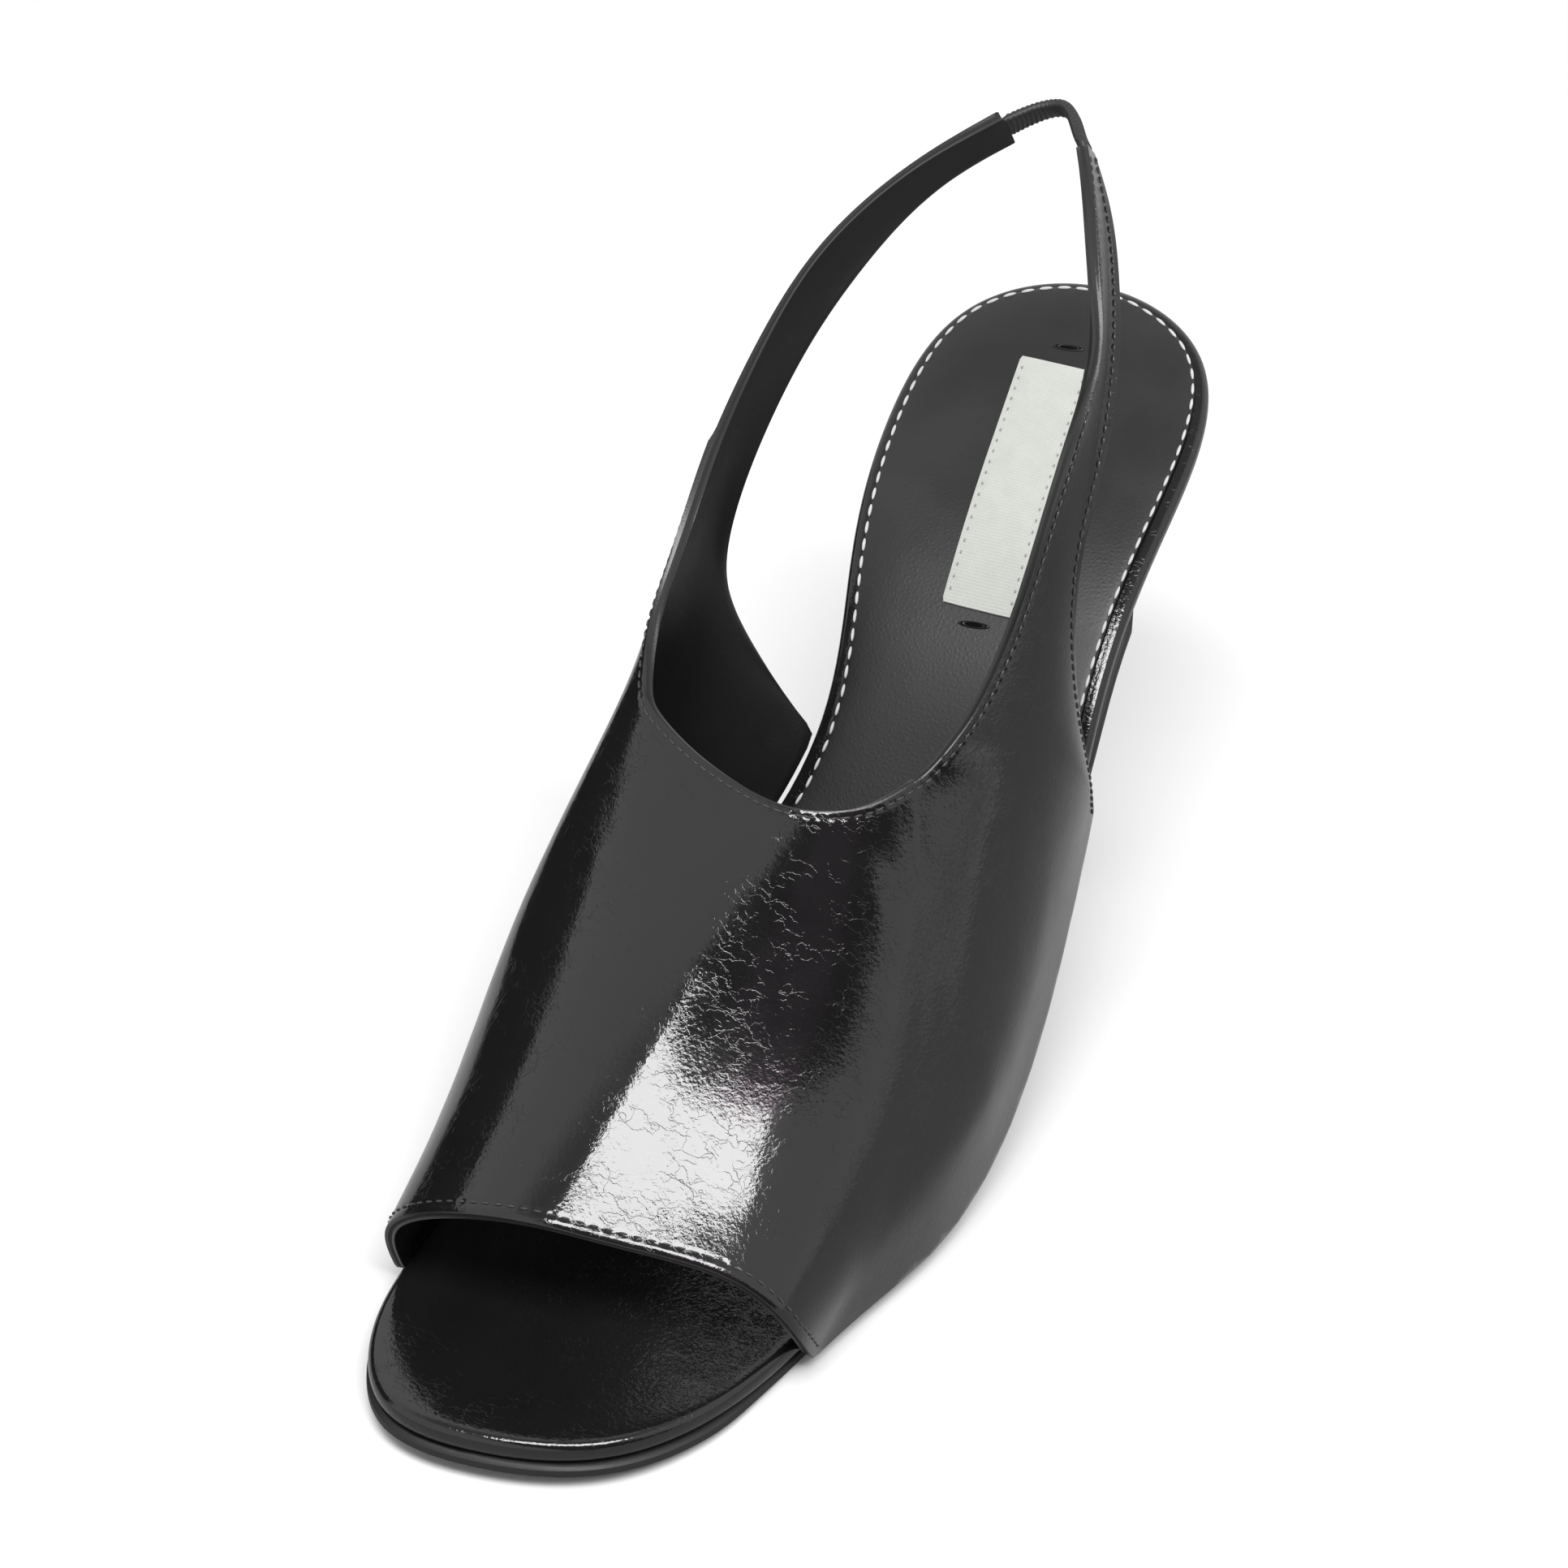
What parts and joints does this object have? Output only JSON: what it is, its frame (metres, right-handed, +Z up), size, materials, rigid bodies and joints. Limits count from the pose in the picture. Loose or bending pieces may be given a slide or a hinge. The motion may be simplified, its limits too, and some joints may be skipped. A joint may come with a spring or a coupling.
{
  "type": "slingback sandal",
  "caption": "Open-toe slingback sandal with a slim high heel, for the left foot: a full vamp with side wings, and sling straps joined by an elastic behind the ankle.",
  "frame": {"origin": "middle of the shoe's bounding box, on the floor that the sole and the heel tip stand on", "axes": "+Z up, -Y towards the toe, +X towards the outer side of the left foot"},
  "size_m": [0.0844, 0.2208, 0.151],
  "materials": {
    "outsole": "matte",
    "insole": "patent",
    "sock": "matte",
    "label": "woven",
    "heel": "patent",
    "top_piece": "matte",
    "upper": "patent",
    "elastic": "ribbed"
  },
  "bodies": {
    "root": {"outsole": "outsole", "insole": "insole", "sock": "sock", "label": "label", "heel": "heel", "top_piece": "top_piece", "upper": "upper", "elastic": "elastic"}
  },
  "joints": []
}
